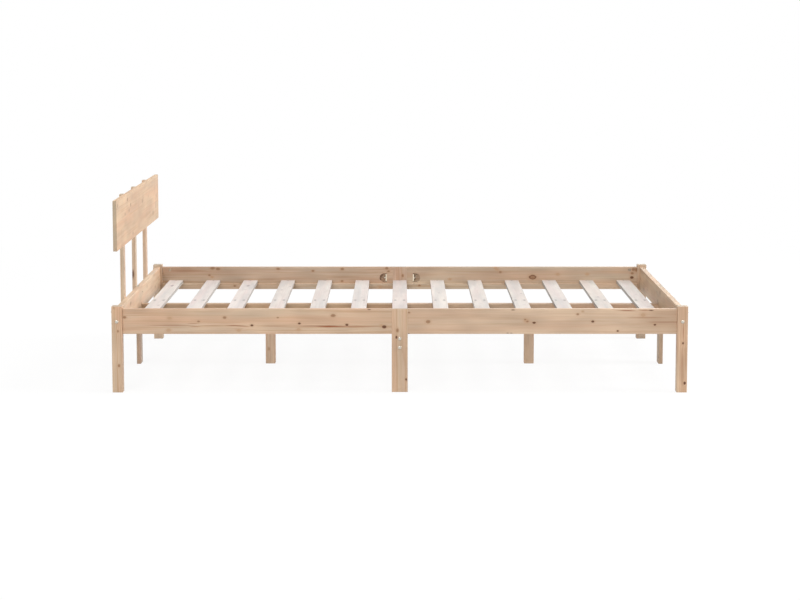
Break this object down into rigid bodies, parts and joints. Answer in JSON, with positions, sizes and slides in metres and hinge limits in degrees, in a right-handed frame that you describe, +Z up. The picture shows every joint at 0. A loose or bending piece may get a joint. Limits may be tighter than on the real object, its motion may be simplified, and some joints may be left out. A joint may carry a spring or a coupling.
{
  "type": "bed frame",
  "caption": "Slatted bed frame in pale knotty pine: square legs, plank rails, a centre beam on legs and a low plank headboard on three posts.",
  "frame": {"origin": "on the floor, under the middle of the frame's outer box", "axes": "+X from the head to the foot, +Y to the sleeper's left, +Z up"},
  "size_m": [2.059, 1.2618, 0.685],
  "materials": {
    "frame_pine": "planed, unfinished",
    "slat_pine": "sawn, pale",
    "beech_dowel": "plain beech",
    "zinc_steel": "bright zinc plate",
    "screw_steel": "dull dark phosphate coat"
  },
  "bodies": {
    "root": {"beam_barrel_nuts": "zinc_steel", "beam_end_bolts": "zinc_steel", "beam_lap_screws": "screw_steel", "centre_beam_foot": "frame_pine", "centre_beam_head": "frame_pine", "centre_leg_bolts": "zinc_steel", "centre_leg_foot": "frame_pine", "centre_leg_head": "frame_pine", "corner_bolts": "zinc_steel", "cross_beam": "frame_pine", "cross_beam_bolts": "zinc_steel", "dowels": "beech_dowel", "foot_rail": "frame_pine", "head_rail": "frame_pine", "headboard_panel": "frame_pine", "headboard_post_left": "frame_pine", "headboard_post_middle": "frame_pine", "headboard_post_right": "frame_pine", "joint_nuts": "zinc_steel", "joint_plates": "zinc_steel", "joint_rods": "zinc_steel", "leg_foot_left": "frame_pine", "leg_foot_right": "frame_pine", "leg_head_left": "frame_pine", "leg_head_right": "frame_pine", "mid_leg_foot": "frame_pine", "mid_leg_head": "frame_pine", "mid_leg_left": "frame_pine", "mid_leg_right": "frame_pine", "mid_leg_screws": "screw_steel", "post_panel_screws": "screw_steel", "post_rail_screws": "screw_steel", "rail_barrel_nuts": "zinc_steel", "side_rail_foot_left": "frame_pine", "side_rail_foot_right": "frame_pine", "side_rail_head_left": "frame_pine", "side_rail_head_right": "frame_pine", "slat_01": "slat_pine", "slat_02": "slat_pine", "slat_03": "slat_pine", "slat_04": "slat_pine", "slat_05": "slat_pine", "slat_06": "slat_pine", "slat_07": "slat_pine", "slat_08": "slat_pine", "slat_09": "slat_pine", "slat_10": "slat_pine", "slat_11": "slat_pine", "slat_12": "slat_pine", "slat_13": "slat_pine", "slat_centre_screws": "screw_steel", "slat_end_screws": "screw_steel", "slat_ledger_foot_left": "frame_pine", "slat_ledger_foot_right": "frame_pine", "slat_ledger_head_left": "frame_pine", "slat_ledger_head_right": "frame_pine"}
  },
  "joints": []
}
